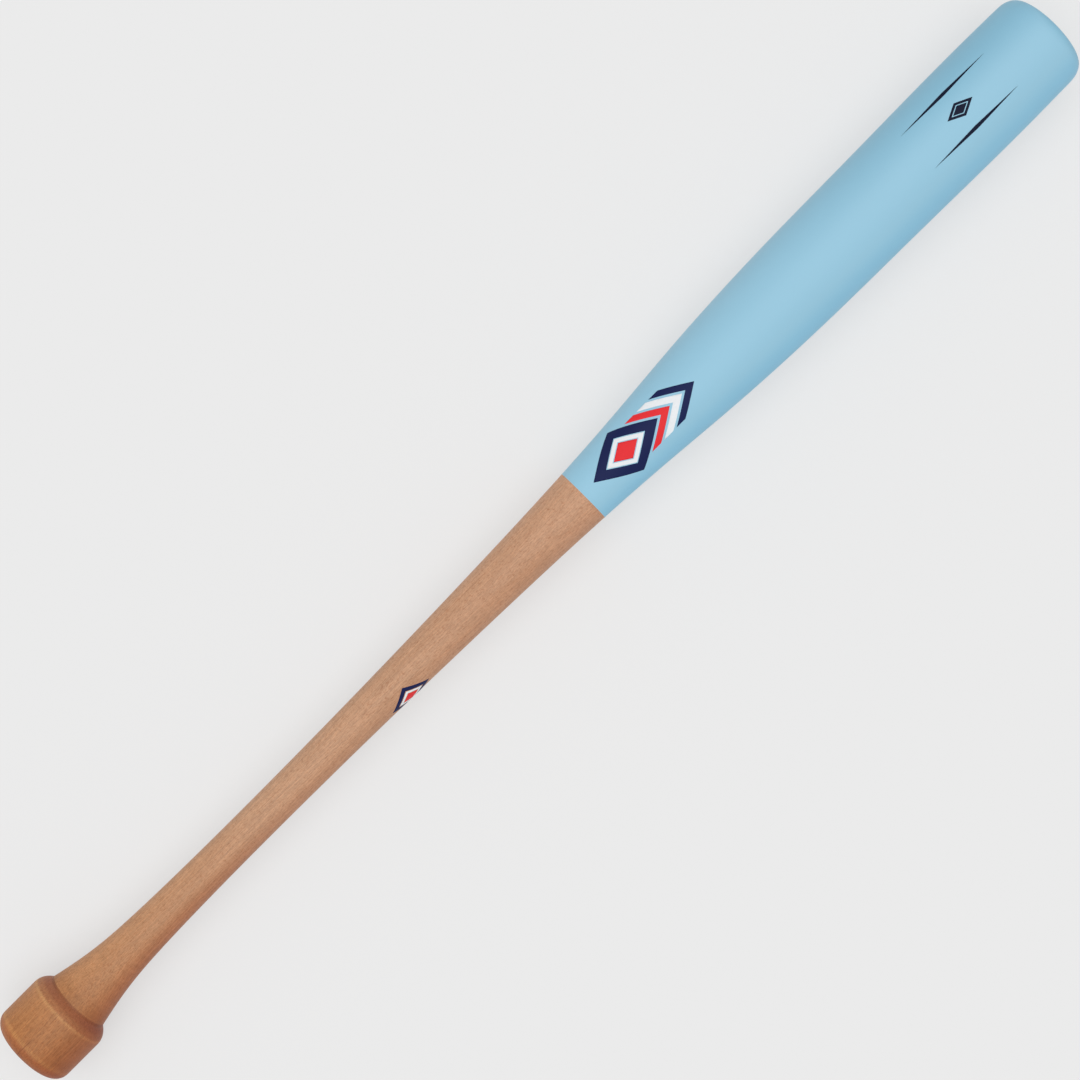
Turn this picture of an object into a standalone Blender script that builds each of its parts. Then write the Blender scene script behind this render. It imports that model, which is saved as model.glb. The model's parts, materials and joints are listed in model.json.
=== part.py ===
"""A 33 inch wooden baseball bat: one turned maple billet, the enamel coat on its barrel and its printed marks.

The bat lies along +X with the centre of its knob's face at the origin, and +Z is the side that the marks face.
Every piece is built upright, as it stands in a lathe, and one empty lays them all down.
"""

import math

import bmesh
import bpy
import numpy as np
from mathutils import Matrix, Vector

# Sizes in metres. Stations are distances along the axis from the knob's face.

# The knob, from its face to the crease where it meets the handle
KNOB_RADIUS = 0.0259
KNOB_FLAT_RADIUS = 0.0080
KNOB_CROWN = 0.0007
KNOB_ROUND_LENGTH = 0.0087
KNOB_ROUND_DROP = 0.0085
KNOB_ROUND_POWER = 2.08
KNOB_SIDE_LENGTH = 0.0235
KNOB_SHOULDER_LENGTH = 0.0098
KNOB_SHOULDER_POWER = 2.44
CREASE_RADIUS = 0.0203

# The handle and barrel, in four stretches that follow on from the crease
GRIP_RADIUS = 0.01143  # where the handle is slimmest, at the end of the flare
BARREL_RADIUS = 0.0306  # where the barrel is fullest
FLARE_LENGTH = 0.1680
HANDLE_LENGTH = 0.2472
SWELL_LENGTH = 0.1758
BARREL_LENGTH = 0.1935

# Gauge points on each stretch: the share of its length, and the share of the radius that is still to lose
# on the flare, from the crease to the grip, or that is gained on the others, from the grip to the barrel
FLARE_SHARES = ((0.095, 0.627), (0.196, 0.343), (0.345, 0.148), (0.554, 0.040), (1.0, 0.0))
HANDLE_SHARES = ((0.405, 0.070), (0.728, 0.183), (1.0, 0.329))
SWELL_SHARES = ((0.289, 0.508), (0.528, 0.693), (0.767, 0.831), (1.0, 0.908))
BARREL_SHARES = ((0.347, 0.952), (0.850, 1.0), (1.0, 0.980))

# The rounded end of the barrel
END_FLAT_RADIUS = 0.0120
END_CROWN = 0.0006
END_ROUND_LENGTH = 0.0117
END_ROUND_DROP = 0.0071
END_ROUND_POWER = 2.09

# The enamel coat starts 18 inches from the knob's face
PAINT_START = 0.4572
PAINT_THICKNESS = 0.0003
PAINT_CLEARANCE = 0.0003

# Printed marks are thin films that stand clear of what they are printed on
INK_THICKNESS = 0.0002
INK_CLEARANCE = 0.0002
INK_SPACING = 0.0005

# The mark on the taper: three diamonds, one inside the other, and three chevrons
TAPER_MARK_START = 0.0090  # past the start of the enamel
TAPER_MARK_TURN = math.radians(3.5)
TAPER_DIAMOND_LENGTH = 0.0520
TAPER_DIAMOND_WIDTH = 0.0340
TAPER_NAVY_BAND = 0.0056
TAPER_WHITE_BAND = 0.0024
CHEVRON_SPACING = 0.0026
CHEVRON_THICKNESS = 0.0072
CHEVRON_WIDTH = 0.0240

# The mark on the handle, 12 inches from the knob's face
HANDLE_MARK_STATION = 0.3048
HANDLE_MARK_TURN = math.radians(-64)
HANDLE_DIAMOND_LENGTH = 0.0292
HANDLE_DIAMOND_WIDTH = 0.0190
HANDLE_NAVY_BAND = 0.0026
HANDLE_WHITE_BAND = 0.0014

# The print on the barrel: a diamond between two long slim lines
BARREL_MARK_FROM_END = 0.0750
BARREL_MARK_TURN = math.radians(7.5)
BARREL_DIAMOND_LENGTH = 0.0200
BARREL_DIAMOND_WIDTH = 0.0100
BARREL_DIAMOND_BAND = 0.0015
LINE_LENGTH = 0.0670
LINE_WIDTH = 0.0024
LINE_TO_LINE = 0.0280

# How finely the shapes are cut into faces
TURNED_STEPS = 48
CUTS_PER_STRETCH = 2
CUTS_PER_ROUND = 6
CUTS_PER_SHOULDER = 5
INK_STEP_ALONG = 0.0100
INK_STEP_ROUND = 0.0024

# Colours as sRGB fractions, each with its roughness
MAPLE = ((0.75, 0.58, 0.46), 0.45)
SKY_BLUE = ((0.61, 0.80, 0.88), 0.35)
NAVY = ((0.12, 0.15, 0.31), 0.40)
RED = ((0.91, 0.22, 0.23), 0.40)
WHITE = ((0.93, 0.94, 0.95), 0.40)
PRINT_BLUE = ((0.08, 0.10, 0.18), 0.45)

KNOB_SIDE_END = KNOB_ROUND_LENGTH + KNOB_SIDE_LENGTH
CREASE_STATION = KNOB_SIDE_END + KNOB_SHOULDER_LENGTH


def gauge_points():
    """(station, radius) of the crease and of every gauge point beyond it."""
    stretches = (
        (FLARE_LENGTH, FLARE_SHARES, CREASE_RADIUS),
        (HANDLE_LENGTH, HANDLE_SHARES, BARREL_RADIUS),
        (SWELL_LENGTH, SWELL_SHARES, BARREL_RADIUS),
        (BARREL_LENGTH, BARREL_SHARES, BARREL_RADIUS),
    )
    start, points = CREASE_STATION, [(CREASE_STATION, CREASE_RADIUS)]
    for length, shares, widest in stretches:
        points += [(start + along * length, GRIP_RADIUS + share * (widest - GRIP_RADIUS)) for along, share in shares]
        start += length
    return points


STATIONS, RADII = np.transpose(gauge_points())
END_STATION, END_RADIUS = STATIONS[-1], RADII[-1]
BAT_LENGTH = END_STATION + END_ROUND_LENGTH


def spline_bends(stations, radii):
    """The second derivatives, at each gauge point, of the smooth curve through all of them, free at both ends."""
    gaps = np.diff(stations)
    slopes = np.diff(radii) / gaps
    system = np.eye(len(stations))
    wanted = np.zeros(len(stations))
    for i in range(1, len(stations) - 1):
        system[i, i - 1 : i + 2] = gaps[i - 1], 2 * (gaps[i - 1] + gaps[i]), gaps[i]
        wanted[i] = 6 * (slopes[i] - slopes[i - 1])
    return np.linalg.solve(system, wanted)


BENDS = spline_bends(STATIONS, RADII)


def wood_radius(station):
    """The bat's radius between the crease and the start of the end's rounding."""
    i = int(np.clip(np.searchsorted(STATIONS, station) - 1, 0, len(STATIONS) - 2))
    gap = STATIONS[i + 1] - STATIONS[i]
    past, left = station - STATIONS[i], STATIONS[i + 1] - station
    curve = (BENDS[i] * left**3 + BENDS[i + 1] * past**3) / (6 * gap)
    start = (RADII[i] / gap - BENDS[i] * gap / 6) * left
    end = (RADII[i + 1] / gap - BENDS[i + 1] * gap / 6) * past
    return float(curve + start + end)


def rounded_end(radius, flat_radius, crown, length, drop, power):
    """(distance in from the end, radius) from the axis, over the nearly flat face, to where the side begins."""
    points = [(0.0, 0.0), (0.0, flat_radius)]
    for i in range(CUTS_PER_ROUND + 1):
        turn = math.pi / 2 * i / CUTS_PER_ROUND
        inward = length - (length - crown) * math.cos(turn) ** (2 / power)
        points.append((inward, radius - drop + drop * math.sin(turn) ** (2 / power)))
    return points


def knob_profile():
    """(station, radius) from the centre of the knob's face to just before the crease."""
    points = rounded_end(
        KNOB_RADIUS, KNOB_FLAT_RADIUS, KNOB_CROWN, KNOB_ROUND_LENGTH, KNOB_ROUND_DROP, KNOB_ROUND_POWER
    )
    for i in range(CUTS_PER_SHOULDER):
        share = i / CUTS_PER_SHOULDER
        fall = (KNOB_RADIUS - CREASE_RADIUS) * share**KNOB_SHOULDER_POWER
        points.append((KNOB_SIDE_END + KNOB_SHOULDER_LENGTH * share, KNOB_RADIUS - fall))
    return points


def body_profile(start, end):
    """(station, radius) along the gauged wood between two stations, both included."""
    cuts = [start, end]
    for first, last in zip(STATIONS[:-1], STATIONS[1:]):
        cuts += list(np.linspace(first, last, CUTS_PER_STRETCH, endpoint=False))
    closest = min(KNOB_SHOULDER_LENGTH / CUTS_PER_SHOULDER, END_ROUND_LENGTH / CUTS_PER_ROUND)
    inside = [cut for cut in cuts if start + closest < cut < end - closest]
    return [(cut, wood_radius(cut)) for cut in sorted(inside + [start, end])]


def end_profile():
    """(station, radius) from the start of the end's rounding to the centre of the barrel's end face."""
    points = rounded_end(END_RADIUS, END_FLAT_RADIUS, END_CROWN, END_ROUND_LENGTH, END_ROUND_DROP, END_ROUND_POWER)
    return [(BAT_LENGTH - inward, radius) for inward, radius in reversed(points)]


def painted_profile(start):
    """(station, radius) of everything under the enamel's outer skin, from a station to the end face."""
    return body_profile(start, END_STATION) + end_profile()[1:]


def offset_inward(points, distance):
    """The profile moved square to itself towards the axis. A point on the axis stays on it."""
    moved = []
    for i, (station, radius) in enumerate(points):
        before, after = points[max(i - 1, 0)], points[min(i + 1, len(points) - 1)]
        run, rise = after[0] - before[0], after[1] - before[1]
        length = math.hypot(run, rise)
        inward = 0.0 if radius == 0 else distance * run / length
        back = distance if radius == 0 else -distance * rise / length
        moved.append((station - back, radius - inward))
    return moved


def srgb_to_linear(value):
    return value / 12.92 if value <= 0.04045 else ((value + 0.055) / 1.055) ** 2.4


def make_material(name, finish):
    colour, roughness = finish
    material = bpy.data.materials.new(name)
    material.use_nodes = True
    shader = material.node_tree.nodes["Principled BSDF"]
    shader.inputs["Base Color"].default_value = [srgb_to_linear(value) for value in colour] + [1.0]
    shader.inputs["Roughness"].default_value = roughness
    shader.inputs["Metallic"].default_value = 0.0
    return material


def clear_scene():
    for old in list(bpy.data.objects):
        bpy.data.objects.remove(old, do_unlink=True)


def add_object(name, mesh, material, axis, collection):
    obj = bpy.data.objects.new(name, mesh)
    mesh.materials.append(material)
    obj.parent = axis
    collection.objects.link(obj)
    return obj


def turn_profile(name, points, material, axis, collection):
    """Spins a profile once round the upright axis. The points run from the knob to the barrel's end."""
    mesh = bpy.data.meshes.new(name)
    half_step = math.pi / TURNED_STEPS
    corners = []
    for station, radius in reversed(points):
        corners.append((radius * math.cos(half_step), radius * math.sin(half_step), station))
    mesh.from_pydata(corners, [(i, i + 1) for i in range(len(corners) - 1)], [])
    obj = add_object(name, mesh, material, axis, collection)
    spin = obj.modifiers.new("Turn", "SCREW")
    spin.axis = "Z"
    spin.angle = math.tau
    spin.steps = TURNED_STEPS
    spin.render_steps = TURNED_STEPS
    spin.use_merge_vertices = True
    spin.merge_threshold = 0.00001
    spin.use_smooth_shade = True
    return obj


def make_billet(material, axis, collection):
    """Knob, handle and barrel in one piece of wood, turned down a little where the enamel goes on."""
    bare = knob_profile() + body_profile(CREASE_STATION, PAINT_START)
    allowance = PAINT_THICKNESS + PAINT_CLEARANCE
    painted = offset_inward(painted_profile(PAINT_START), allowance)
    painted[0] = (PAINT_START, wood_radius(PAINT_START) - allowance)
    return turn_profile("maple_billet", bare + painted, material, axis, collection)


def make_coat(material, axis, collection):
    """The enamel: a thin thimble over the barrel, open where it starts."""
    start = PAINT_START + PAINT_CLEARANCE
    obj = turn_profile("barrel_paint", painted_profile(start), material, axis, collection)
    wall = obj.modifiers.new("Thickness", "SOLIDIFY")
    wall.thickness = PAINT_THICKNESS
    wall.offset = -1.0
    wall.use_even_offset = True
    return obj


def diamond(length, width, middle=0.0):
    return [(middle - length / 2, 0.0), (middle, -width / 2), (middle + length / 2, 0.0), (middle, width / 2)]


def shrink_diamond(length, width, band):
    """The size of a diamond whose sides lie a band's width inside the first one's."""
    share = 1 - 2 * band * math.hypot(length, width) / (length * width)
    return length * share, width * share


def chevron(tip, width, thickness, slope):
    """A V that points along the bat, with its tip's outer corner at this place."""
    back = tip - slope * width / 2
    outer = [(back, width / 2), (tip, 0.0), (back, -width / 2)]
    inner = [(x - thickness, y) for x, y in reversed(outer)]
    return outer + inner


def cut_across(bm, low, high, step, axis_index):
    """Cuts a flat face along evenly spaced lines, so that it can bend round the bat."""
    count = max(1, math.ceil((high - low) / step))
    normal = Vector((0, 0, 0))
    normal[axis_index] = 1.0
    for i in range(1, count):
        place = Vector((0, 0, 0))
        place[axis_index] = low + (high - low) * i / count
        everything = bm.verts[:] + bm.edges[:] + bm.faces[:]
        bmesh.ops.bisect_plane(bm, geom=everything, dist=1e-6, plane_co=place, plane_no=normal)


def wrap_on_bat(point, station, turn):
    """Lays a point of a flat drawing, in metres along and across, on the turned faces about a centre line."""
    along = station + point.x
    radius = float(np.interp(along, *np.transpose(body_profile(CREASE_STATION, END_STATION))))
    angle = turn + point.y / radius
    height = radius + INK_CLEARANCE + point.z
    return Vector((-height * math.cos(angle), height * math.sin(angle), along))


def print_ink(name, outlines, station, turn, material, axis, collection):
    """A film of ink: one outline, or an outer and an inner one, cut out flat, thickened and laid on the bat."""
    bm = bmesh.new()
    for outline in outlines:
        corners = [bm.verts.new((x, y, 0.0)) for x, y in outline]
        for i, corner in enumerate(corners):
            bm.edges.new((corners[i - 1], corner))
    bmesh.ops.triangle_fill(bm, edges=bm.edges[:], use_beauty=True, normal=(0, 0, 1))
    xs = [x for x, y in outlines[0]]
    ys = [y for x, y in outlines[0]]
    cut_across(bm, min(ys), max(ys), INK_STEP_ROUND, 1)
    cut_across(bm, min(xs), max(xs), INK_STEP_ALONG, 0)
    bmesh.ops.triangulate(bm, faces=bm.faces[:])
    raised = bmesh.ops.extrude_face_region(bm, geom=bm.faces[:], use_keep_orig=True)["geom"]
    raised_corners = [item for item in raised if isinstance(item, bmesh.types.BMVert)]
    bmesh.ops.translate(bm, verts=raised_corners, vec=(0, 0, INK_THICKNESS))
    for corner in bm.verts:
        corner.co = wrap_on_bat(corner.co, station, turn)
    bmesh.ops.recalc_face_normals(bm, faces=bm.faces[:])
    if bm.calc_volume(signed=True) < 0:
        bmesh.ops.reverse_faces(bm, faces=bm.faces[:])
    mesh = bpy.data.meshes.new(name)
    bm.to_mesh(mesh)
    bm.free()
    return add_object(name, mesh, material, axis, collection)


def nested_diamonds(length, width, bands, middle=0.0):
    """Outlines of a diamond cut into frames of these widths and a core, with a line's spacing between them."""
    pieces = []
    for band in bands:
        inner = shrink_diamond(length, width, band)
        pieces.append([diamond(length, width, middle), diamond(*inner, middle)])
        length, width = shrink_diamond(*inner, INK_SPACING)
    pieces.append([diamond(length, width, middle)])
    return pieces


def make_taper_mark(inks, axis, collection):
    """Nested diamonds with three chevrons that run on towards the barrel, where the enamel starts."""
    station = PAINT_START + TAPER_MARK_START
    middle = TAPER_DIAMOND_LENGTH / 2
    bands = (TAPER_NAVY_BAND, TAPER_WHITE_BAND)
    shapes = nested_diamonds(TAPER_DIAMOND_LENGTH, TAPER_DIAMOND_WIDTH, bands, middle)
    names = (("navy_frame", "navy"), ("white_frame", "white"), ("red_core", "red"))
    for outlines, (name, ink) in zip(shapes, names):
        print_ink(f"taper_mark_{name}", outlines, station, TAPER_MARK_TURN, inks[ink], axis, collection)
    slope = TAPER_DIAMOND_LENGTH / TAPER_DIAMOND_WIDTH
    tip = TAPER_DIAMOND_LENGTH
    for ink in ("red", "white", "navy"):
        tip += CHEVRON_SPACING + CHEVRON_THICKNESS
        outline = chevron(tip, CHEVRON_WIDTH, CHEVRON_THICKNESS, slope)
        name = f"taper_mark_{ink}_chevron"
        print_ink(name, [outline], station, TAPER_MARK_TURN, inks[ink], axis, collection)


def make_handle_mark(inks, axis, collection):
    """Small nested diamonds on the bare wood of the handle, towards -Y."""
    bands = (HANDLE_NAVY_BAND, HANDLE_WHITE_BAND)
    shapes = nested_diamonds(HANDLE_DIAMOND_LENGTH, HANDLE_DIAMOND_WIDTH, bands)
    names = (("navy_frame", "navy"), ("white_frame", "white"), ("red_core", "red"))
    for outlines, (name, ink) in zip(shapes, names):
        name = f"handle_mark_{name}"
        print_ink(name, outlines, HANDLE_MARK_STATION, HANDLE_MARK_TURN, inks[ink], axis, collection)


def make_barrel_mark(ink, axis, collection):
    """A framed diamond between two long slim lines, all in one dark ink."""
    station = BAT_LENGTH - BARREL_MARK_FROM_END
    shapes = nested_diamonds(BARREL_DIAMOND_LENGTH, BARREL_DIAMOND_WIDTH, (BARREL_DIAMOND_BAND,))
    for outlines, name in zip(shapes, ("barrel_mark_frame", "barrel_mark_core")):
        print_ink(name, outlines, station, BARREL_MARK_TURN, ink, axis, collection)
    for side, name in ((1, "barrel_mark_upper_line"), (-1, "barrel_mark_lower_line")):
        line = [(x, y + side * LINE_TO_LINE / 2) for x, y in diamond(LINE_LENGTH, LINE_WIDTH)]
        print_ink(name, [line], station, BARREL_MARK_TURN, ink, axis, collection)


def build():
    clear_scene()
    collection = bpy.data.collections.new("wooden_baseball_bat")
    bpy.context.scene.collection.children.link(collection)
    axis = bpy.data.objects.new("bat_axis", None)
    axis.matrix_world = Matrix.Rotation(math.pi / 2, 4, "Y")
    collection.objects.link(axis)
    inks = {
        "navy": make_material("navy_ink", NAVY),
        "red": make_material("red_ink", RED),
        "white": make_material("white_ink", WHITE),
    }
    make_billet(make_material("maple", MAPLE), axis, collection)
    make_coat(make_material("sky_blue_enamel", SKY_BLUE), axis, collection)
    make_taper_mark(inks, axis, collection)
    make_handle_mark(inks, axis, collection)
    make_barrel_mark(make_material("barrel_print_ink", PRINT_BLUE), axis, collection)
    print(f"bat length {BAT_LENGTH * 1000:.2f} mm, largest diameter {2000 * max(RADII):.1f} mm")


build()
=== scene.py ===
# %% [markdown]
# # A wooden baseball bat, dressed for its picture
#
# The bat is one length of maple, turned on a lathe. Sky-blue enamel is sprayed over its barrel, and a few
# plain marks are printed on it. A CAD model already fixes every size: each piece is a coarse solid with
# flat facets. Blender's job here is the rest: finely turned surfaces, wood and paint that look right from
# close by, soft light, and a camera that looks from where the photo was taken.
#
# The CAD solids could be smoothed where they are, but they are the frame that everything else is measured
# from. So they are left alone, and each new piece is turned or laid on from what they say.

# %% Load the CAD model
import json
import math

import bmesh
import bpy
import numpy as np
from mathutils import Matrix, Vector

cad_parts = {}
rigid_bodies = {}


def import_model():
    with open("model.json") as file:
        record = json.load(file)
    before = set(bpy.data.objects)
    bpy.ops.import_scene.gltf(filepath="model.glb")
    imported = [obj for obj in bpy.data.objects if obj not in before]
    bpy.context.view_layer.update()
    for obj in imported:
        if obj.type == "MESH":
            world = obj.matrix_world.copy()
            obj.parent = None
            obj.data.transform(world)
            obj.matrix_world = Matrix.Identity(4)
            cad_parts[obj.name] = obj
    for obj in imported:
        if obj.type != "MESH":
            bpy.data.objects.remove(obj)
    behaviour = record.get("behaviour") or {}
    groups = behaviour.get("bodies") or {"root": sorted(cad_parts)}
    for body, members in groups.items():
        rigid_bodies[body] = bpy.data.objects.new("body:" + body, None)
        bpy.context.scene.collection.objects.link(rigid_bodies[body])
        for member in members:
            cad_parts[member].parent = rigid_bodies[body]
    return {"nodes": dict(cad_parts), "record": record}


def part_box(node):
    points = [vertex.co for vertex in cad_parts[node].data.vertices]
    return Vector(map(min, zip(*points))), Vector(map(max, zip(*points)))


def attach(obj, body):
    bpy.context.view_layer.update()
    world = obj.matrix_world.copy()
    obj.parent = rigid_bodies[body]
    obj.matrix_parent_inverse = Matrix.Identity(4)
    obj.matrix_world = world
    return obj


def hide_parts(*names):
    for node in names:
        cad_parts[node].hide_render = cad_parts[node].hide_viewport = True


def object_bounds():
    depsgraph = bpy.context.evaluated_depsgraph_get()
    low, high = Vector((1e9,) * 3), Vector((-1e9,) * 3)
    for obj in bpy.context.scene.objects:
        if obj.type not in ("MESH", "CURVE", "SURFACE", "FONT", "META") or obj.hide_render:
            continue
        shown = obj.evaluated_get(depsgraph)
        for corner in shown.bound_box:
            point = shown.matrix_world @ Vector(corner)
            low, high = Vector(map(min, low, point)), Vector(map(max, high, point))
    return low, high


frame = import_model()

cad_low, cad_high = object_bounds()
print("CAD box in mm:", [round(side * 1000, 2) for side in cad_high - cad_low])

# %% [markdown]
# ## The camera
#
# The photo looks straight down on the bat, which runs from the lower left corner to the upper right. The
# bat could be turned under a level camera, but the frame mustn't move, so the camera turns instead: an
# eighth of a turn about the line it looks along. The bow of the edges in the photo gives its distance.

# %% Place the camera above the bat
CAMERA_DISTANCE = 1.438  # from the bat's axis
CAMERA_STATION = 0.4213  # measured along the bat from the knob's face
CAMERA_ASIDE = -0.0004
CAMERA_TURN = math.radians(-45)
LENS = 82.57
SENSOR = 36.0

camera_data = bpy.data.cameras.new("camera")
camera_data.lens = LENS
camera_data.sensor_width = SENSOR
camera = bpy.data.objects.new("camera", camera_data)
camera.location = (CAMERA_STATION, CAMERA_ASIDE, CAMERA_DISTANCE)
camera.rotation_euler = (0.0, 0.0, CAMERA_TURN)
bpy.context.scene.collection.objects.link(camera)
bpy.context.scene.camera = camera
print("the picture is", round(CAMERA_DISTANCE * SENSOR / LENS * 1000), "mm wide at the bat's axis")

# %% [markdown]
# ## The outline that the lathe follows
#
# Everything round about a bat comes from one outline: how far the surface is from the axis at each station
# along it. The outline could be typed in again, but the CAD solids hold it already, as rings of corners.
# Reading the rings keeps the two models the same size for ever. Only faces that look outwards count,
# because the enamel is a thin thimble and its inner skin has rings too.

# %% Read the rings of the turned nodes
SAME_RING = 0.00005
LOOKS_OUT = 0.3
CAD_GAP = 0.0003  # the clearance that the CAD model leaves before the enamel starts


def outer_rings(node, end_direction):
    """(station, radius) of the rings of corners on the outside of a turned node."""
    mesh = frame["nodes"][node].data
    corners = set()
    for face in mesh.polygons:
        away = Vector((0.0, face.center.y, face.center.z)).normalized()
        on_side = face.normal.dot(away) > LOOKS_OUT
        on_end = face.normal.x * end_direction > LOOKS_OUT
        if on_side or on_end:
            for index in face.vertices:
                corner = mesh.vertices[index].co
                corners.add((corner.x, math.hypot(corner.y, corner.z)))
    rings = []
    for station, radius in sorted(corners):
        if rings and station - rings[-1][0] < SAME_RING:
            rings[-1][1] = max(rings[-1][1], radius)
        else:
            rings.append([station, radius])
    return rings


paint_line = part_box("barrel_paint")[0].x - CAD_GAP
wood_rings = outer_rings("maple_billet", -1)
bare_rings = [ring for ring in wood_rings if ring[0] < paint_line + SAME_RING]
painted_rings = outer_rings("barrel_paint", 1)
rings = np.array([[0.0, 0.0]] + bare_rings + painted_rings + [[painted_rings[-1][0], 0.0]])
print(len(rings), "rings; the enamel starts at", round(paint_line * 1000, 1), "mm")

# %% [markdown]
# Two places cut the outline into three runs. One is the crease, where the knob's hollow shoulder meets the
# handle: the outline turns outwards most sharply there. The other is where the long body stops and the end
# of the barrel starts to round over.

# %% Find the crease and the start of the rounded end
END_TURN = -2.0  # degrees from one span between rings to the next

spans = np.diff(rings, axis=0)
headings = np.degrees(np.arctan2(spans[:, 1], spans[:, 0]))
turns = np.diff(headings)
crease = int(np.argmax(turns)) + 1
end_start = crease + 1 + int(np.argmax(turns[crease:] < END_TURN))
crease_station = float(rings[crease, 0])
print("the crease is at", round(crease_station * 1000, 2), "mm")
print("the end starts to round at", round(rings[end_start, 0] * 1000, 2), "mm")

# %% [markdown]
# The rings are far apart, so a smooth curve goes through them. The long body wants the smoothest one there
# is, the line that a thin steel strip bent round pegs would take. On the knob and the end that curve would
# bulge where a straight side runs into a tight round, so there each slope is held back and never
# overshoots.

# %% Curves through the rings
def bent_strip_slopes(at, values):
    """Slopes of the smoothest curve through the points."""
    gaps = np.diff(at)
    rises = np.diff(values) / gaps
    system = np.zeros((len(at), len(at)))
    wanted = np.zeros(len(at))
    system[0, :2] = 2, 1
    system[-1, -2:] = 1, 2
    wanted[0] = 3 * rises[0]
    wanted[-1] = 3 * rises[-1]
    for i in range(1, len(at) - 1):
        system[i, i - 1 : i + 2] = gaps[i], 2 * (gaps[i - 1] + gaps[i]), gaps[i - 1]
        wanted[i] = 3 * (gaps[i] * rises[i - 1] + gaps[i - 1] * rises[i])
    return np.linalg.solve(system, wanted)


def steady_slopes(at, values):
    """Slopes of a curve that never swings past its points, and is flat wherever they are."""
    rises = np.diff(values) / np.diff(at)
    slopes = np.concatenate([rises[:1], np.zeros(len(at) - 2), rises[-1:]])
    for i in range(1, len(at) - 1):
        before, after = rises[i - 1], rises[i]
        if before * after > 0:
            slopes[i] = 2 * before * after / (before + after)
    return slopes


def follow(at, knots, values, slopes):
    """Where the curve through the knots is at these places."""
    i = np.clip(np.searchsorted(knots, at) - 1, 0, len(knots) - 2)
    gap = knots[i + 1] - knots[i]
    share = (at - knots[i]) / gap
    left = 1 - share
    start = values[i] * (1 + 2 * share) * left**2 + slopes[i] * gap * share * left**2
    end = values[i + 1] * share**2 * (3 - 2 * share) - slopes[i + 1] * gap * share**2 * left
    return start + end


body_stations, body_radii = rings[crease : end_start + 1].T
body_slopes = bent_strip_slopes(body_stations, body_radii)
print("slopes along the body:", round(body_slopes.min(), 3), "to", round(body_slopes.max(), 3))

# %% [markdown]
# The curves are read off closely where the outline bends and more widely along the body. The CAD rings
# have 48 flats, and a flat lies a little inside its corners. The new bat is round, so it is brought in by
# that much, a fifteenth of a millimetre, and stays inside the CAD model's box.

# %% Read off the fine outline
BODY_STEP = 0.0040
ROUND_STEP = 0.0007
MOST_CUTS = 7


def read_round(run):
    """Closely spaced points along one of the rounded runs, from its first ring to its last."""
    lengths = np.hypot(*np.diff(run, axis=0).T)
    knots = np.concatenate([[0.0], np.cumsum(lengths)])
    places = [knots[-1:]]
    for start, length in zip(knots, lengths):
        cuts = min(MOST_CUTS, math.ceil(length / ROUND_STEP))
        places.append(start + length * np.arange(cuts) / cuts)
    places = np.sort(np.concatenate(places))
    columns = [follow(places, knots, column, steady_slopes(knots, column)) for column in run.T]
    return np.stack(columns, axis=1)


def read_body(start, end):
    """Evenly spaced points along the body between two stations."""
    stations = np.linspace(start, end, math.ceil((end - start) / BODY_STEP) + 1)
    return np.stack([stations, follow(stations, body_stations, body_radii, body_slopes)], axis=1)


knob_outline = read_round(rings[: crease + 1])
handle_outline = read_body(crease_station, paint_line)
painted_body = read_body(paint_line, body_stations[-1])
barrel_outline = np.concatenate([painted_body, read_round(rings[end_start:])[1:]])
snug = (cad_high.y - cad_low.y) / 2 / barrel_outline[:, 1].max()
for outline in (knob_outline, handle_outline, barrel_outline):
    outline[:, 1] *= snug


def bat_radius(station):
    """The finished radius of the bat at a station on its body."""
    return snug * float(follow(np.array([station]), body_stations, body_radii, body_slopes)[0])


print("points on knob, handle and barrel:", len(knob_outline), len(handle_outline), len(barrel_outline))
print("brought in by a factor of", round(snug, 5))

# %% [markdown]
# ## Turning the wood
#
# The real bat starts as a round billet between two centres, and a knife follows the outline. Spinning an
# outline about an axis is the same job, so the Spin operator makes the mesh: a chain of edges goes once
# round the X axis, and the seam and the two points on the axis are welded.
#
# A corner on a real lathe is never sharp, because the tool has a nose and the sander follows it. So chosen
# rings get a small bevel.

# %% Helpers that spin an outline and ease its corners
LATHE_STEPS = 144
WELD = 0.000002


def spin_outline(outline):
    """A closed bmesh from an outline that starts and ends on the X axis."""
    bm = bmesh.new()
    chain = [bm.verts.new((station, 0.0, radius)) for station, radius in outline]
    for before, after in zip(chain, chain[1:]):
        bm.edges.new((before, after))
    bmesh.ops.spin(
        bm, geom=bm.verts[:] + bm.edges[:], axis=(1, 0, 0), cent=(0, 0, 0), angle=math.tau,
        steps=LATHE_STEPS, use_merge=True,
    )
    bmesh.ops.remove_doubles(bm, verts=bm.verts[:], dist=WELD)
    bmesh.ops.recalc_face_normals(bm, faces=bm.faces[:])
    return bm


def ease_ring(bm, station, radius, width, segments):
    """Bevels the ring of edges at this station and radius."""

    def on_ring(corner):
        at_radius = abs(math.hypot(corner.co.y, corner.co.z) - radius) < WELD
        return at_radius and abs(corner.co.x - station) < WELD

    ring = [edge for edge in bm.edges if on_ring(edge.verts[0]) and on_ring(edge.verts[1])]
    bmesh.ops.bevel(
        bm, geom=ring, offset=width, segments=segments, profile=0.5, affect="EDGES", material=-1,
        clamp_overlap=True,
    )
    return len(ring)


# %% A helper that hands a finished mesh over
SHARP_EDGE = math.radians(30)


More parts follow.
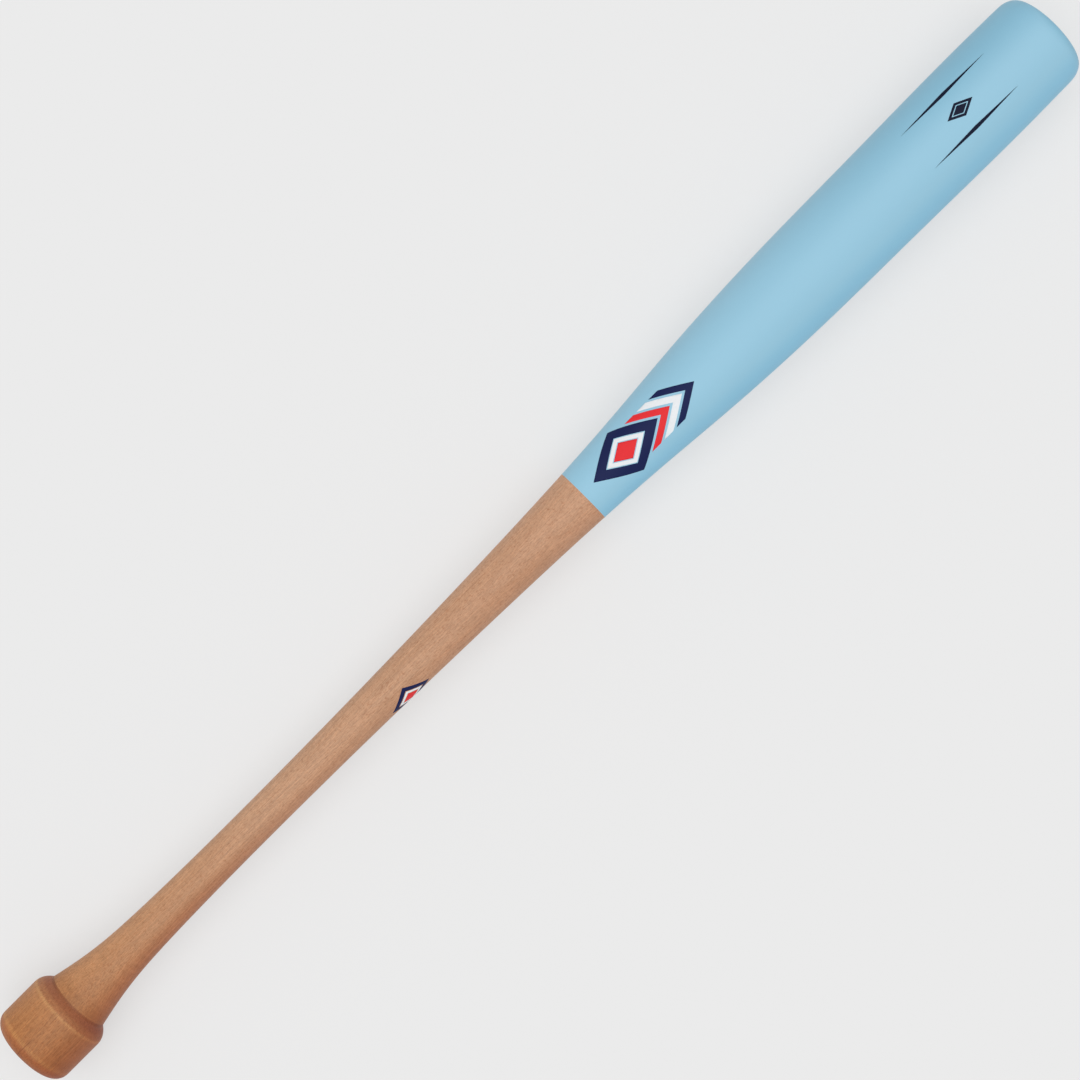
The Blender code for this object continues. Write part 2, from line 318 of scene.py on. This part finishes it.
def add_piece(name, bm, material, slot, *nodes):
    """Makes the object, shades it smooth, puts it on the root body and hides its CAD nodes; slot is not
    used.
    """
    volume = bm.calc_volume(signed=True)
    open_edges = sum(not edge.is_manifold for edge in bm.edges)
    mesh = bpy.data.meshes.new(name)
    bm.to_mesh(mesh)
    bm.free()
    mesh.shade_smooth()
    mesh.set_sharp_from_angle(angle=SHARP_EDGE)
    mesh.materials.append(material)
    piece = bpy.data.objects.new(name, mesh)
    bpy.context.scene.collection.objects.link(piece)
    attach(piece, "root")
    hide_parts(*nodes)
    print(f"{name}: {len(mesh.polygons)} faces, {volume * 1e6:.3f} cm3, {open_edges} open edges")
    return piece


# %% [markdown]
# ## A way to write shader maths
#
# A node material is a sum written as boxes and wires. The boxes could be placed one by one, but a formula
# reads better as a formula. So one small class wraps a socket and turns +, -, * and / into Math nodes, and
# one method adds any other node from its type, its settings and what goes into its sockets.

# %% A socket that does sums
class Value:
    """A number, vector or colour on its way through a node tree."""

    def __init__(self, graph, socket):
        self.graph = graph
        self.socket = socket

    def other(self, name):
        """Another output of the node that this value comes from."""
        return Value(self.graph, self.socket.node.outputs[name])

    def math(self, operation, *others):
        values = dict(enumerate([self, *others]))
        return self.graph.node("ShaderNodeMath", {"operation": operation}, values)

    def __add__(self, other):
        return self.math("ADD", other)

    def __sub__(self, other):
        return self.math("SUBTRACT", other)

    def __rsub__(self, other):
        return self.graph.node("ShaderNodeMath", {"operation": "SUBTRACT"}, {0: other, 1: self})

    def __mul__(self, other):
        return self.math("MULTIPLY", other)

    def __truediv__(self, other):
        return self.math("DIVIDE", other)

    __radd__ = __add__
    __rmul__ = __mul__


# %% A node tree that grows
class Graph:
    """The node tree of a material or of the world."""

    def __init__(self, owner):
        owner.use_nodes = True
        self.owner = owner
        self.tree = owner.node_tree

    def plug(self, value, socket):
        if isinstance(value, Value):
            self.tree.links.new(value.socket, socket)
        else:
            socket.default_value = value

    def node(self, kind, settings=None, sockets=None, output=0):
        made = self.tree.nodes.new(kind)
        for name, setting in (settings or {}).items():
            if name == "stops":
                self.set_stops(made.color_ramp, setting)
            else:
                setattr(made, name, setting)
        for name, value in (sockets or {}).items():
            self.plug(value, made.inputs[name])
        return Value(self, made.outputs[output])

    def set_stops(self, ramp, stops):
        while len(ramp.elements) < len(stops):
            ramp.elements.new(1.0)
        for element, (position, colour) in zip(ramp.elements, stops):
            element.position = position
            element.color = colour

    def vector(self, operation, *values):
        return self.node("ShaderNodeVectorMath", {"operation": operation}, dict(enumerate(values)))

    def parts(self, vector):
        """The three numbers that a vector holds."""
        x = self.node("ShaderNodeSeparateXYZ", None, {0: vector})
        return x, x.other("Y"), x.other("Z")

    def noise(self, place, repeats, detail, roughness=0.5):
        """Noise from about -0.5 to 0.5 that repeats this often a metre along each side of the place."""
        sockets = {"Vector": self.vector("MULTIPLY", place, repeats), "Scale": 1.0}
        sockets.update({"Detail": detail, "Roughness": roughness})
        return self.node("ShaderNodeTexNoise", None, sockets) - 0.5

    def noises(self, place, table):
        """The noise that each line of a table asks for."""
        return {name: self.noise(place, *line) for name, line in table.items()}

    def fade(self, value, low, high, start=0.0, end=1.0):
        """From start to end, smoothly, while the value goes from low to high."""
        sockets = {"Value": value, "From Min": low, "From Max": high, "To Min": start, "To Max": end}
        return self.node("ShaderNodeMapRange", {"interpolation_type": "SMOOTHSTEP"}, sockets)

    def tint(self, colour, share, factor):
        """The colour multiplied by a factor for each of its channels, as far as the share says."""
        settings = {"data_type": "RGBA", "blend_type": "MULTIPLY"}
        return self.node("ShaderNodeMix", settings, {0: share, 6: colour, 7: (*factor, 1.0)}, output=2)

    def brighten(self, colour, factor):
        return self.node("ShaderNodeVectorMath", {"operation": "SCALE"}, {0: colour, "Scale": factor})

    def bump(self, height, distance, normal=None):
        sockets = {"Height": height, "Distance": distance, "Strength": 1.0}
        if normal is not None:
            sockets["Normal"] = normal
        return self.node("ShaderNodeBump", None, sockets)

    def finish(self, sockets):
        """Plugs the results into the sockets of the material's shader."""
        shader = self.tree.nodes["Principled BSDF"]
        for name, value in sockets.items():
            self.plug(value, shader.inputs[name])
        return self.owner


# %% Helpers for colours and sums of patterns
def rgb(red, green, blue):
    """A colour that Blender reads as this one on screen, given from 0 to 255."""
    linear = []
    for channel in (red, green, blue):
        share = channel / 255
        linear.append(share / 12.92 if share <= 0.04045 else ((share + 0.055) / 1.055) ** 2.4)
    return (*linear, 1.0)


def weighed(patterns, weights):
    """The sum of the patterns that have a weight, each one multiplied by it."""
    return sum(patterns[name] * weight for name, weight in weights.items())


# %% [markdown]
# ## Maple
#
# Maple is pale, close-grained wood. Its yearly rings end in a thin darker line, and its pores are too
# small to see one by one and show as short fine dashes. Its rays are thin sheets that run out from the
# heart of the tree: they show as short dashes where the surface cuts across them, and as wider flecks
# where it runs along them.
#
# A picture wrapped round the bat could show all that, but it would stretch at the knob and break at the
# end grain. The wood is a solid thing, so the pattern is solid too: it is worked out in the tree's own
# space, along the trunk, round it and out from its heart, and the bat is simply where the lathe cut it.
# Rings then open into long arches on the faces and close into fine lines on the sides by themselves, as
# they do on a real bat.

# %% The tree's own space
HEART_BELOW = 0.078
HEART_ASIDE = 0.014
GRAIN_SLOPE = 0.010
SWAY = 0.010
SWAYS_PER_METRE = (5, 14, 14)


def tree_space(graph, place):
    """(along the trunk, round it, out from its heart) in metres, wandering a little as real grain does."""
    sockets = {"Vector": graph.vector("MULTIPLY", place, SWAYS_PER_METRE), "Scale": 1.0}
    sway = graph.node("ShaderNodeTexNoise", None, sockets, "Color")
    sway = graph.vector("SUBTRACT", sway, (0.5, 0.5, 0.5))
    x, y, z = graph.parts(graph.vector("MULTIPLY_ADD", sway, (0.0, SWAY, SWAY), place))
    aside = y - HEART_ASIDE
    above = z + HEART_BELOW + x * GRAIN_SLOPE
    out = (aside * aside + above * above).math("SQRT")
    around = aside.math("ARCTAN2", above) * HEART_BELOW
    return graph.node("ShaderNodeCombineXYZ", None, {0: x, 1: around, 2: out})


print("the heart of the tree is", round(math.hypot(HEART_BELOW, HEART_ASIDE) * 1000), "mm from the axis")

# %% [markdown]
# The finish is a clear satin lacquer over wood that darkens towards the knob. The crease is the darkest
# place, from gathered lacquer and painted shade. The face of the knob is deeper than its side, partly end
# grain and partly painted shade on its rounding, and its two edges carry thin painted highlights.
#
# One side of the bat is painted darker and redder, as shade, and the other side paler, as a painted sheen.
# The change is strong at the knob and faint by the taper, and the sheen hardly shows through the lacquer
# and painted shade in the crease.

# %% The maple's colours
# The knob's face is deeper partly from end grain and partly from painted shade on its rounding
KNOB_FACE = rgb(168, 104, 62)
KNOB_SIDE = rgb(172, 114, 67)
FLARE = rgb(188, 137, 97)
GRIP = rgb(197, 154, 122)
TAPER = rgb(201, 157, 126)
ALONG_THE_BAT = [(0.0083, KNOB_FACE), (0.0103, KNOB_SIDE), (0.090, FLARE), (0.230, GRIP), (0.550, TAPER)]

# What each of these makes of the wood's red, green and blue where it is at its fullest
# Painted shade on the -Y side, then a painted sheen on the +Y side
SHADE_SIDE_TONE = (0.83, 0.62, 0.56)
SHEEN_SIDE_TONE = (1.20, 1.26, 1.32)
# Gathered lacquer with painted shade in the crease, a deeper band before its border, and a trace past it
LACQUER_AND_SHADE_TONE = (0.82, 0.64, 0.66)
BAND_TONE = (0.76, 0.74, 0.65)
TRACE_TONE = (0.89, 0.85, 0.78)
# Painted highlight on the knob's edges
EDGE_HIGHLIGHT_TONE = (1.15, 1.26, 1.26)

print("the wood has", len(ALONG_THE_BAT), "colours along its length")

# %% Where those colours lie
# Stations past the crease: there is none of it at the first of each pair and all of it at the second
SHOULDER_LACQUER_AND_SHADE = (-0.0066, -0.0054)
CREASE_LACQUER_AND_SHADE = (-0.0045, -0.0018)
BAND_START = (-0.0003, 0.0004)
BORDER = (0.0018, 0.0011)
TRACE_END = (0.0130, 0.0030)

# How far to the side, in the same way
SHADE_SIDE = (-0.05, -0.95)
SHEEN_SIDE = (0.05, 0.75)

SHEEN_LEAST = 0.1
SHEEN_MORE = 0.7
SHEEN_HIDDEN = 0.85
WOOD_FULL_RADIUS = 0.0110
SIDES_WEAKEN = (0.060, 0.300, 1.0, 0.25)
NEXT_TO_NOTHING = 0.000001

# The station of each painted edge highlight, and how far it reaches from it
EDGE_HIGHLIGHTS = {0.0090: 0.0022, 0.0347: 0.0015}


def to_the_side(graph, aside, height, full_radius):
    """-1 where the surface faces -Y, 0 on top, below and on the axis, and 1 where it faces +Y."""
    from_axis = (aside * aside + height * height).math("SQRT") + NEXT_TO_NOTHING
    return aside / from_axis * graph.fade(from_axis, 0.0, full_radius)


def maple_tone(graph, station, aside, height):
    """The wood's colour at a place before any grain, with its painted shade, sheen and highlights."""
    share = station / (cad_high.x - cad_low.x)
    colour = graph.node("ShaderNodeValToRGB", {"stops": ALONG_THE_BAT}, {"Fac": share})

    # Gathered lacquer and painted shade: on the hollow shoulder, as far as a crisp border on the handle
    from_crease = station - crease_station
    before_border = graph.fade(from_crease, *BORDER)
    lacquer_and_shade = (graph.fade(from_crease, *SHOULDER_LACQUER_AND_SHADE) + graph.fade(from_crease, *CREASE_LACQUER_AND_SHADE)) / 2
    lacquer_and_shade = lacquer_and_shade * before_border

    # Painted shade on one side and a painted sheen on the other; the crease's darkening hides the sheen
    side = to_the_side(graph, aside, height, WOOD_FULL_RADIUS)
    strong = graph.fade(station, *SIDES_WEAKEN)
    painted_sheen = graph.fade(side, *SHEEN_SIDE) * (SHEEN_LEAST + strong * SHEEN_MORE)
    colour = graph.tint(colour, graph.fade(side, *SHADE_SIDE) * strong, SHADE_SIDE_TONE)
    colour = graph.tint(colour, painted_sheen * (1 - lacquer_and_shade * SHEEN_HIDDEN), SHEEN_SIDE_TONE)

    # The lacquer's tone and painted shade, deeper in a band before the border, and a trace past it
    colour = graph.tint(colour, lacquer_and_shade, LACQUER_AND_SHADE_TONE)
    colour = graph.tint(colour, graph.fade(from_crease, *BAND_START) * before_border, BAND_TONE)
    trace = (1 - before_border) * graph.fade(from_crease, *TRACE_END)
    colour = graph.tint(colour, trace, TRACE_TONE)

    # Painted highlights on the knob's two edges
    for edge, width in EDGE_HIGHLIGHTS.items():
        edge_highlight = graph.fade((station - edge).math("ABSOLUTE"), width, 0.0)
        colour = graph.tint(colour, edge_highlight, EDGE_HIGHLIGHT_TONE)
    return colour


# The crease's gathered lacquer and painted shade end at this border
print("the gathered lacquer ends at", round((crease_station + BORDER[0]) * 1000, 1), "mm")

# %% [markdown]
# The grain goes on top of that colour. Nearly all of it is noise, pulled out along the trunk, round it or
# out from its heart: cloudy patches where the wood drank more, a faint curl across the grain, streaks,
# fibres, fine hairs, pores, rays and a few darker flecks. The yearly rings and the last trace of the lathe
# join them. The same patterns also change how the surface shines and rises.

# %% The patterns in the wood
# Repeats a metre along the trunk, round it and out from its heart, the noise's detail, its roughness
WOOD_PATTERNS = {
    "unevenness": ((0.5, 6, 160), 2.0),
    "patches": ((14, 50, 50), 1.0),
    "curl": ((320, 90, 90), 1.0),
    "streaks": ((7, 900, 900), 2.0),
    "fibres": ((24, 1500, 1500), 3.0, 0.6),
    "hairs": ((260, 3200, 3200), 2.0, 0.6),
    "pores": ((400, 2500, 2500), 2.0),
    "rays": ((650, 2000, 280), 1.0),
    "flecks": ((420, 700, 700), 0.0),
}
TOOL_MARKS = {"lathe": ((1300, 0, 0), 1.0)}

# The noise where a stain starts and where it is full, and how strong the stain is at each
STAIN_EDGES = {
    "patches": (-0.20, 0.20, 0.28, 0.68),
    "pores": (0.05, 0.20, 0.0, 1.0),
    "rays": (0.03, 0.18, 0.0, 1.0),
    "flecks": (0.26, 0.34, 0.0, 1.0),
}
STAIN_TONES = {
    "patches": (0.91, 0.85, 0.79),
    "rings": (0.92, 0.87, 0.83),
    "rings_on_face": (0.80, 0.70, 0.64),
    "pores": (0.88, 0.81, 0.76),
    "rays": (0.87, 0.80, 0.75),
    "flecks": (0.86, 0.78, 0.72),
}
print(len(WOOD_PATTERNS) + len(TOOL_MARKS), "patterns,", len(STAIN_TONES), "stains")

# %% Yearly rings
RING_WIDTH = 0.0026
LINE_STRENGTH = 0.45

# These are in years, apart from the last two numbers, which are the tone before and after
RING_UNEVENNESS = 1.6
FIRST_YEAR = 0.8
YEARS_END = 0.93
LINE_EDGES = (0.07, 0.01)
LATE_WOOD = (0.20, 0.95, 0.13, 0.27)


def yearly_rings(graph, out, unevenness):
    """A tone that deepens slowly through each year and ends in a thin line."""
    year = (out / RING_WIDTH + unevenness * RING_UNEVENNESS + FIRST_YEAR).math("FRACT")
    line = graph.fade((year - YEARS_END).math("ABSOLUTE"), *LINE_EDGES)
    return graph.fade(year, *LATE_WOOD) + line * LINE_STRENGTH


print("yearly rings from side to side of the barrel:", round((cad_high.y - cad_low.y) / RING_WIDTH))

# %% Mineral streaks
STREAK_WIDTH = 0.00028
STREAK_CORE = STREAK_WIDTH / 3
STREAK_WAVER = 0.0006

# For each streak: how far aside it lies, where along the bat and how high up it fades in, and its tone
KNOB_STREAK = 0.0030
KNOB_STREAK_STATIONS = (0.0165, 0.01155)
KNOB_STREAK_HEIGHTS = (0.009, 0.022)
KNOB_STREAK_TONE = (0.62, 0.48, 0.42)
HANDLE_STREAK = 0.0085
HANDLE_STREAK_START = (0.338, 0.348)
HANDLE_STREAK_END = (0.388, 0.384)
HANDLE_STREAK_HEIGHTS = (0.0, 0.002)
HANDLE_STREAK_TONE = (0.84, 0.76, 0.68)


def thin_line(graph, across, middle):
    """1 in the middle of a hair-thin line that runs along the bat, and 0 beside it."""
    return graph.fade((across - middle).math("ABSOLUTE"), STREAK_WIDTH, STREAK_CORE)


def mineral_streaks(graph, colour, place, waver):
    """Adds a streak that dies away on the knob's face, and a fainter one on the handle."""
    station, aside, height = graph.parts(place)
    on_knob = graph.fade(station, *KNOB_STREAK_STATIONS) * graph.fade(height, *KNOB_STREAK_HEIGHTS)
    on_knob = thin_line(graph, aside + waver, KNOB_STREAK) * on_knob
    colour = graph.tint(colour, on_knob, KNOB_STREAK_TONE)
    on_handle = graph.fade(station, *HANDLE_STREAK_START) * graph.fade(station, *HANDLE_STREAK_END)
    on_handle = on_handle * graph.fade(height, *HANDLE_STREAK_HEIGHTS)
    on_handle = thin_line(graph, aside + waver, HANDLE_STREAK) * on_handle
    return graph.tint(colour, on_handle, HANDLE_STREAK_TONE)


print("each streak is", round(STREAK_WIDTH * 2000, 2), "mm wide")

# %% The maple's finish
END_GRAIN = (0.0090, 0.0030)

# How much each pattern brightens the wood, which is stronger on the knob and weaker on the taper
FIGURE = {"fibres": 0.60, "streaks": 0.28, "hairs": 0.66, "curl": 0.18, "lathe": 0.20}
KNOB_FIGURE = (0.030, 0.060, 1.2, 1.0)
TAPER_FIGURE = (0.20, 0.40, 1.0, 0.8)

# How much each pattern and stain dulls the surface and raises it
DULLING = {"fibres": 0.16, "patches": -0.12}
STAIN_DULLING = {"pores": 0.10}
RAISING = {"fibres": 0.4, "hairs": 0.2, "lathe": 0.3}
STAIN_RAISING = {"pores": -0.6, "rays": -0.3}
WOOD_ROUGHNESS = 0.50
WOOD_RELIEF = 0.00003
WOOD_GLOSS = 0.3


def maple_finish():
    graph = Graph(bpy.data.materials.new("maple"))
    place = graph.node("ShaderNodeTexCoord", output="Object")
    station, aside, height = graph.parts(place)
    woody = tree_space(graph, place)
    out = graph.parts(woody)[2]
    grain = graph.noises(woody, WOOD_PATTERNS) | graph.noises(place, TOOL_MARKS)
    stains = {name: graph.fade(grain[name], *edges) for name, edges in STAIN_EDGES.items()}
    stains["rings"] = yearly_rings(graph, out, grain["unevenness"])
    stains["rings_on_face"] = stains["rings"] * graph.fade(station, *END_GRAIN)

    colour = maple_tone(graph, station, aside, height)
    for name, tone in STAIN_TONES.items():
        colour = graph.tint(colour, stains[name], tone)
    strength = graph.fade(station, *KNOB_FIGURE) * graph.fade(station, *TAPER_FIGURE)
    colour = graph.brighten(colour, 1 + weighed(grain, FIGURE) * strength)
    colour = mineral_streaks(graph, colour, place, grain["streaks"] * STREAK_WAVER)

    dulled = weighed(grain, DULLING) + weighed(stains, STAIN_DULLING)
    relief = weighed(grain, RAISING) + weighed(stains, STAIN_RAISING)
    return graph.finish({
        "Base Color": colour,
        "Roughness": WOOD_ROUGHNESS + dulled,
        "Specular IOR Level": WOOD_GLOSS,
        "Normal": graph.bump(relief, WOOD_RELIEF),
    })


maple = maple_finish()
print("maple:", len(maple.node_tree.nodes), "nodes")

# %% [markdown]
# ## The billet
#
# The wood is one piece from the knob's face to the end of the barrel. Where the enamel goes on, the
# surface lies lower by the coat, so the finished bat has no step. The hidden wood could be left out, but
# then the piece would be an open tube, and a billet is solid.

# %% Turn the billet
COAT_THICKNESS = 0.00010
COAT_GAP = 0.00001
CREASE_EASE = 0.0007
CREASE_SEGMENTS = 4


def sunk(outline, depth):
    """An outline moved square to itself into the wood, from the same station to the same axis."""
    heading = np.gradient(outline, axis=0)
    outward = np.stack([-heading[:, 1], heading[:, 0]], axis=1) / np.hypot(*heading.T)[:, None]
    moved = outline - depth * outward
    moved[0, 0] = outline[0, 0]
    moved[-1, 1] = 0.0
    return moved


under_coat = sunk(barrel_outline, COAT_THICKNESS + COAT_GAP)
billet = spin_outline(np.concatenate([knob_outline, handle_outline[1:], under_coat]))
eased = ease_ring(billet, *knob_outline[-1], CREASE_EASE, CREASE_SEGMENTS)
print("edges eased in the crease:", eased)
add_piece("turned_billet", billet, maple, "maple", "maple_billet")

# %% [markdown]
# ## Enamel
#
# The barrel is sprayed with a satin enamel. It could be one even colour, but from close by a sprayed coat
# is never glass: it has a faint orange-peel ripple, a trace of the grain under it, and small changes in
# how it shines. Its colour is nearly even, apart from painted shade: a deeper blue on one side and a darker
# blue towards the end and round it. The roughness and the relief do the rest of the work.

# %% The enamel's finish
SKY_BLUE = rgb(152, 199, 221)
# Painted shade: a deeper blue towards -Y, and a darker blue towards the end and round it
SIDE_SHADE_BLUE = (0.80, 0.97, 1.04)
END_SHADE_BLUE = (0.80, 0.89, 0.92)
COAT_FULL_RADIUS = 0.0200

# The painted shade starts at the first of each pair and is full at the second
SIDE_SHADE_SPAN = (-0.5, -1.0)
END_SHADE_SIDE = (0.0, 0.8)
END_SHADE_STATIONS = (0.58, 0.80)
END_RIM_SHADE = (cad_high.x - 0.0075, cad_high.x - 0.0010)

# Repeats a metre each way, and the noise's detail
COAT_PATTERNS = {"peel": ((700, 700, 700), 1.0), "clouds": ((18, 30, 30), 3.0)}
COVERED_GRAIN = {"grain": ((45, 1300, 1300), 2.0)}
COAT_FIGURE = {"clouds": 0.030, "grain": 0.012}
COAT_DULLING = {"clouds": 0.10, "peel": 0.04}

COAT_ROUGHNESS = 0.42
COAT_GLOSS = 0.2
PEEL_RELIEF = 0.000011
GRAIN_RELIEF = 0.000009


def enamel_finish():
    graph = Graph(bpy.data.materials.new("sky_blue_enamel"))
    place = graph.node("ShaderNodeTexCoord", output="Object")
    station, aside, height = graph.parts(place)
    coat = graph.noises(place, COAT_PATTERNS) | graph.noises(tree_space(graph, place), COVERED_GRAIN)
    side = to_the_side(graph, aside, height, COAT_FULL_RADIUS)
    rim_shade = graph.fade(station, *END_RIM_SHADE)
    colour = graph.tint(SKY_BLUE, graph.fade(side, *SIDE_SHADE_SPAN) * (1 - rim_shade), SIDE_SHADE_BLUE)
    end_shade = graph.fade(side, *END_SHADE_SIDE) * graph.fade(station, *END_SHADE_STATIONS)
    colour = graph.tint(colour, end_shade.math("MAXIMUM", rim_shade), END_SHADE_BLUE)
    ripple = graph.bump(coat["peel"], PEEL_RELIEF)
    return graph.finish({
        "Base Color": graph.brighten(colour, 1 + weighed(coat, COAT_FIGURE)),
        "Roughness": COAT_ROUGHNESS + weighed(coat, COAT_DULLING),
        "Specular IOR Level": COAT_GLOSS,
        "Normal": graph.bump(coat["grain"], GRAIN_RELIEF, ripple),
    })


enamel = enamel_finish()
print("enamel:", len(enamel.node_tree.nodes), "nodes")

# %% [markdown]
# The coat is a thimble with a thin wall: it goes over the barrel, closes over the end, and stops at a
# masked line. Pulling the masking tape leaves a crisp edge with a tiny shoulder, which a two-step bevel
# gives.

# %% Spray the barrel
LIP_EASE = 0.00005
LIP_SEGMENTS = 2

coat = spin_outline(np.concatenate([barrel_outline[::-1], sunk(barrel_outline, COAT_THICKNESS)]))
eased = ease_ring(coat, *barrel_outline[0], LIP_EASE, LIP_SEGMENTS)
print("edges eased at the masked line:", eased)
add_piece("enamel_coat", coat, enamel, "sky_blue_enamel", "barrel_paint")

# %% [markdown]
# ## Printed marks
#
# The marks are ink: nested diamonds with three chevrons where the enamel starts, small diamonds on the
# side of the handle, and a framed diamond between two slim lines near the barrel's end. Each is a film a
# few hundredths of a millimetre thick.
#
# Colouring the surface by a mask would need no mesh, but the edges would blur and the piece would be lost
# in the export. So each film is a copy of its CAD solid, cut finer and laid down on the round bat.

# %% The inks
# The colour and roughness of each ink
INKS = {
    "navy_ink": (rgb(22, 31, 76), 0.50),
    "red_ink": (rgb(230, 50, 55), 0.50),
    "white_ink": (rgb(234, 237, 240), 0.55),
    "print_ink": (rgb(12, 18, 42), 0.50),
}
PRINT_PATTERNS = {"mottle": ((900, 900, 900), 2.0), "streaks": ((60, 500, 500), 2.0)}
PRINT_FIGURE = {"mottle": 0.10, "streaks": 0.06}
PRINT_DULLING = {"mottle": 0.12}
PRINT_RELIEF = 0.000006
PRINT_GLOSS = 0.12


def ink_finish(name, colour, roughness):
    """Screen-printed ink: an even colour that went on a little unevenly through its mesh."""
    graph = Graph(bpy.data.materials.new(name))
    film = graph.noises(graph.node("ShaderNodeTexCoord", output="Object"), PRINT_PATTERNS)
    return graph.finish({
        "Base Color": graph.brighten(colour[:3], 1 + weighed(film, PRINT_FIGURE)),
        "Roughness": roughness + weighed(film, PRINT_DULLING),
        "Specular IOR Level": PRINT_GLOSS,
        "Normal": graph.bump(film["mottle"], PRINT_RELIEF),
    })


inks = {name: ink_finish(name, *look) for name, look in INKS.items()}
print("inks:", ", ".join(inks))

# %% Lay each film on the bat
INK_BED = 0.00001
INK_THICKNESS = 0.00004
INK_CUTS = 3


def lay_film(node, ink):
    """A fine copy of a CAD film, wrapped closely on the bat."""
    bm = bmesh.new()
    bm.from_mesh(frame["nodes"][node].data)
    bmesh.ops.remove_doubles(bm, verts=bm.verts[:], dist=WELD)
    height = bm.verts.layers.float.new("height")
    lifts = {}

    # The corners close to the CAD model's surface are the underside of the film, the others its top
    for corner in bm.verts:
        flat_radius = np.interp(corner.co.x, body_stations, body_radii)
        lifts[corner] = math.hypot(corner.co.y, corner.co.z) - float(flat_radius)
    middle = (min(lifts.values()) + max(lifts.values())) / 2
    for corner, lift in lifts.items():
        corner[height] = INK_BED if lift < middle else INK_BED + INK_THICKNESS

    # The cuts share out that height, and then every corner goes that far above the round bat
    bmesh.ops.subdivide_edges(bm, edges=bm.edges[:], cuts=INK_CUTS, use_grid_fill=True)
    for corner in bm.verts:
        angle = math.atan2(corner.co.y, corner.co.z)
        radius = bat_radius(corner.co.x) + corner[height]
        corner.co = (corner.co.x, radius * math.sin(angle), radius * math.cos(angle))
    return add_piece(f"{node}_print", bm, inks[ink], ink, node)


for subpart in frame["record"]["subparts"]:
    if "_mark_" in subpart["node"]:
        lay_film(subpart["node"], subpart["material_slot"])

# %% [markdown]
# ## The floor
#
# The bat lies on a plain pale floor. It rests on two places, the fullest part of the barrel and the knob,
# and the knob is the slimmer one. A level floor would leave it hanging, so the floor is tilted by the
# third of a degree that brings both down on it.

# %% Make the floor
FLOOR_SIZE = 4.0

barrel_rest = barrel_outline[np.argmax(barrel_outline[:, 1])]
knob_rest = knob_outline[np.argmax(knob_outline[:, 1] > knob_outline[:, 1].max() - WELD)]
floor_slope = (barrel_rest[1] - knob_rest[1]) / (barrel_rest[0] - knob_rest[0])
floor_mesh = bmesh.new()
bmesh.ops.create_grid(floor_mesh, x_segments=1, y_segments=1, size=FLOOR_SIZE)
for corner in floor_mesh.verts:
    corner.co.z = -knob_rest[1] - (corner.co.x - knob_rest[0]) * floor_slope
floor_data = bpy.data.meshes.new("floor")
floor_mesh.to_mesh(floor_data)
floor_mesh.free()
floor = bpy.data.objects.new("floor", floor_data)
bpy.context.scene.collection.objects.link(floor)
print("the floor tilts by", round(math.degrees(floor_slope), 2), "degrees")

# %% [markdown]
# More light could make the floor pale and even, but the bat would then be too bright. So what is seen of
# the floor is mostly its plain colour and partly the lit surface, and the bat's shadow stays but is faint.
# The floor still sends its true light up to the bat.

# %% Give the floor its colour
FLOOR_GREY = rgb(235, 235, 235)
PLAIN_SHARE = 0.62


def seen_rays(graph):
    """1 on the rays that show a background: from the camera, in a reflection or through something clear."""
    camera_ray = graph.node("ShaderNodeLightPath", output="Is Camera Ray")
    glossy_ray = camera_ray.other("Is Glossy Ray")
    return camera_ray.math("MAXIMUM", glossy_ray).math("MAXIMUM", camera_ray.other("Is Transmission Ray"))


floor_graph = Graph(bpy.data.materials.new("floor"))
floor_graph.finish({"Base Color": FLOOR_GREY, "Specular IOR Level": 0.0})
plain = floor_graph.node("ShaderNodeEmission", None, {"Color": FLOOR_GREY, "Strength": 1.0})
lit = Value(floor_graph, floor_graph.tree.nodes["Principled BSDF"].outputs[0])
sockets = {0: seen_rays(floor_graph) * PLAIN_SHARE, 1: lit, 2: plain}
shown = floor_graph.node("ShaderNodeMixShader", None, sockets)
floor_graph.plug(shown, floor_graph.tree.nodes["Material Output"].inputs["Surface"])
floor_data.materials.append(floor_graph.owner)
print("floor:", len(floor_graph.tree.nodes), "nodes")

# %% [markdown]
# ## The light
#
# A product photo like this one is lit by a large soft source close to the camera, in a white room. A wide
# sun gives the same soft shading everywhere along the bat, where a lamp close by would fade from one end
# to the other. The world is the white room. Their strengths add up so that a colour that faces the camera
# comes out about as it is written.

# %% Light the bat
WORLD_LIGHT = 0.50
ROOM_SEEN = 0.83
SUN_STRENGTH = 1.57
SUN_SPREAD = math.radians(70)
SUN_FROM = Vector((-0.06, -0.01, 1.0))

scene = bpy.context.scene
scene.view_settings.view_transform = "Standard"

world_graph = Graph(bpy.data.worlds.new("room"))
scene.world = world_graph.owner
strength = WORLD_LIGHT + seen_rays(world_graph) * (ROOM_SEEN - WORLD_LIGHT)
room = world_graph.tree.nodes["Background"]
room.inputs["Color"].default_value = (1.0, 1.0, 1.0, 1.0)
world_graph.plug(strength, room.inputs["Strength"])

sun_data = bpy.data.lights.new("soft_sun", "SUN")
sun_data.energy = SUN_STRENGTH
sun_data.angle = SUN_SPREAD
sun = bpy.data.objects.new("soft_sun", sun_data)
sun.rotation_euler = SUN_FROM.to_track_quat("Z", "Y").to_euler()
scene.collection.objects.link(sun)
print("level on the floor:", round(WORLD_LIGHT + SUN_STRENGTH * SUN_FROM.normalized().z / math.pi, 3))
